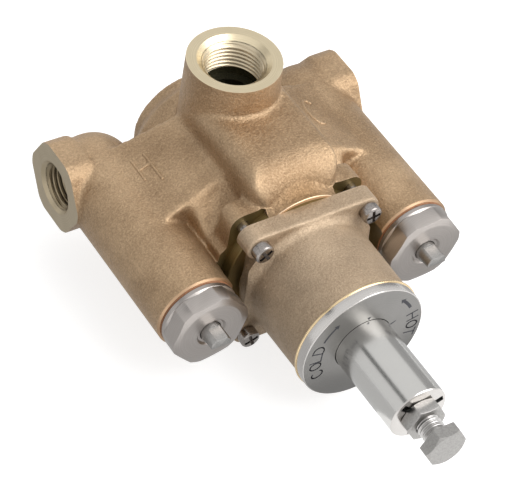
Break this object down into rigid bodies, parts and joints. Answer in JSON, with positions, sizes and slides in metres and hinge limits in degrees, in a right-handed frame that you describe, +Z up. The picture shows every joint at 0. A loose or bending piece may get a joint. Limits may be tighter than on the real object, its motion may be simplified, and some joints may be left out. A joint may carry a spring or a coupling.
{
  "type": "thermostatic mixing valve",
  "caption": "Cast body with threaded hot and cold inlets at its sides, an outlet on top, a stop in each inlet, and a dial and spindle at the front.",
  "frame": {"origin": "centre of the outlet's thread at its upper end, at the foot of the mouth's chamfer", "axes": "+Z up, out of the outlet; +Y towards the back, along the spindle; +X towards the cold inlet, so the dial faces -Y"},
  "size_m": [0.1286, 0.1894, 0.0836],
  "materials": {
    "cast_bronze": "sand cast, rough, machined at its ports",
    "bonnet_bronze": "turned, matte",
    "cap_steel": "turned, satin",
    "polished_steel": "turned, bright",
    "plated_steel": "plated",
    "inner_bronze": "machined",
    "copper": "drawn",
    "seal_rubber": "matte",
    "gasket_fibre": "matte"
  },
  "bodies": {
    "casing": {"valve_body": "cast_bronze", "bonnet": "bonnet_bronze", "bonnet_gasket": "gasket_fibre", "flange_screws": "plated_steel", "dial_plate": "polished_steel", "spindle_seal": "seal_rubber", "retaining_ring": "plated_steel", "port_liner": "inner_bronze", "liner_seals": "seal_rubber", "return_spring": "polished_steel", "hot_stop_cap": "cap_steel", "hot_cap_gasket": "gasket_fibre", "hot_stem_seal": "seal_rubber", "hot_strainer": "polished_steel", "cold_stop_cap": "cap_steel", "cold_cap_gasket": "gasket_fibre", "cold_stem_seal": "seal_rubber", "cold_strainer": "polished_steel"},
    "spindle": {"spindle": "polished_steel", "spindle_sleeve": "polished_steel"},
    "shuttle": {"drive_nut": "inner_bronze", "shuttle": "polished_steel", "thermostat": "copper"},
    "thrust_pin": {"thrust_pin": "polished_steel"},
    "stop_screw": {"stop_screw": "plated_steel"},
    "lock_nut": {"lock_nut": "plated_steel"},
    "hot_stem": {"hot_stop_stem": "plated_steel"},
    "hot_piston": {"hot_stop_piston": "inner_bronze", "hot_stop_washer": "seal_rubber"},
    "cold_stem": {"cold_stop_stem": "plated_steel"},
    "cold_piston": {"cold_stop_piston": "inner_bronze", "cold_stop_washer": "seal_rubber"}
  },
  "joints": [
    {"name": "spindle_turn", "type": "hinge", "parent": "casing", "child": "spindle", "pos_m": [0, -0.1, -0.0515], "axis": [0, 1, 0], "range_deg": [-120, 120]},
    {"name": "shuttle_slide", "type": "slide", "parent": "casing", "child": "shuttle", "axis": [0, 1, 0], "range_m": [-0.0021, 0.0021], "deforming": ["return_spring"]},
    {"name": "thrust_pin_slide", "type": "slide", "parent": "spindle", "child": "thrust_pin", "axis": [0, 1, 0], "range_m": [-0.0048, 0.0048]},
    {"name": "stop_screw_turn", "type": "hinge", "parent": "thrust_pin", "child": "stop_screw", "pos_m": [0, -0.15, -0.0515], "axis": [0, 1, 0], "range_deg": [-1080, 1080]},
    {"name": "lock_nut_turn", "type": "hinge", "parent": "spindle", "child": "lock_nut", "pos_m": [0, -0.141, -0.0515], "axis": [0, 1, 0], "range_deg": [-90, 0]},
    {"name": "hot_stem_turn", "type": "hinge", "parent": "casing", "child": "hot_stem", "pos_m": [-0.0473, -0.08, -0.0515], "axis": [0, 1, 0], "range_deg": [0, 1080]},
    {"name": "hot_piston_slide", "type": "slide", "parent": "casing", "child": "hot_piston", "axis": [0, 1, 0], "range_m": [0, 0.0076]},
    {"name": "cold_stem_turn", "type": "hinge", "parent": "casing", "child": "cold_stem", "pos_m": [0.0473, -0.08, -0.0515], "axis": [0, 1, 0], "range_deg": [0, 1080]},
    {"name": "cold_piston_slide", "type": "slide", "parent": "casing", "child": "cold_piston", "axis": [0, 1, 0], "range_m": [0, 0.0076]}
  ],
  "couplings": [
    {"joint": "shuttle_slide", "follows": "spindle_turn", "m_per_rad": -0.00095493},
    {"joint": "thrust_pin_slide", "follows": "stop_screw_turn", "m_per_rad": 0.00025266},
    {"joint": "hot_piston_slide", "follows": "hot_stem_turn", "m_per_rad": 0.00039789},
    {"joint": "cold_piston_slide", "follows": "cold_stem_turn", "m_per_rad": 0.00039789}
  ]
}
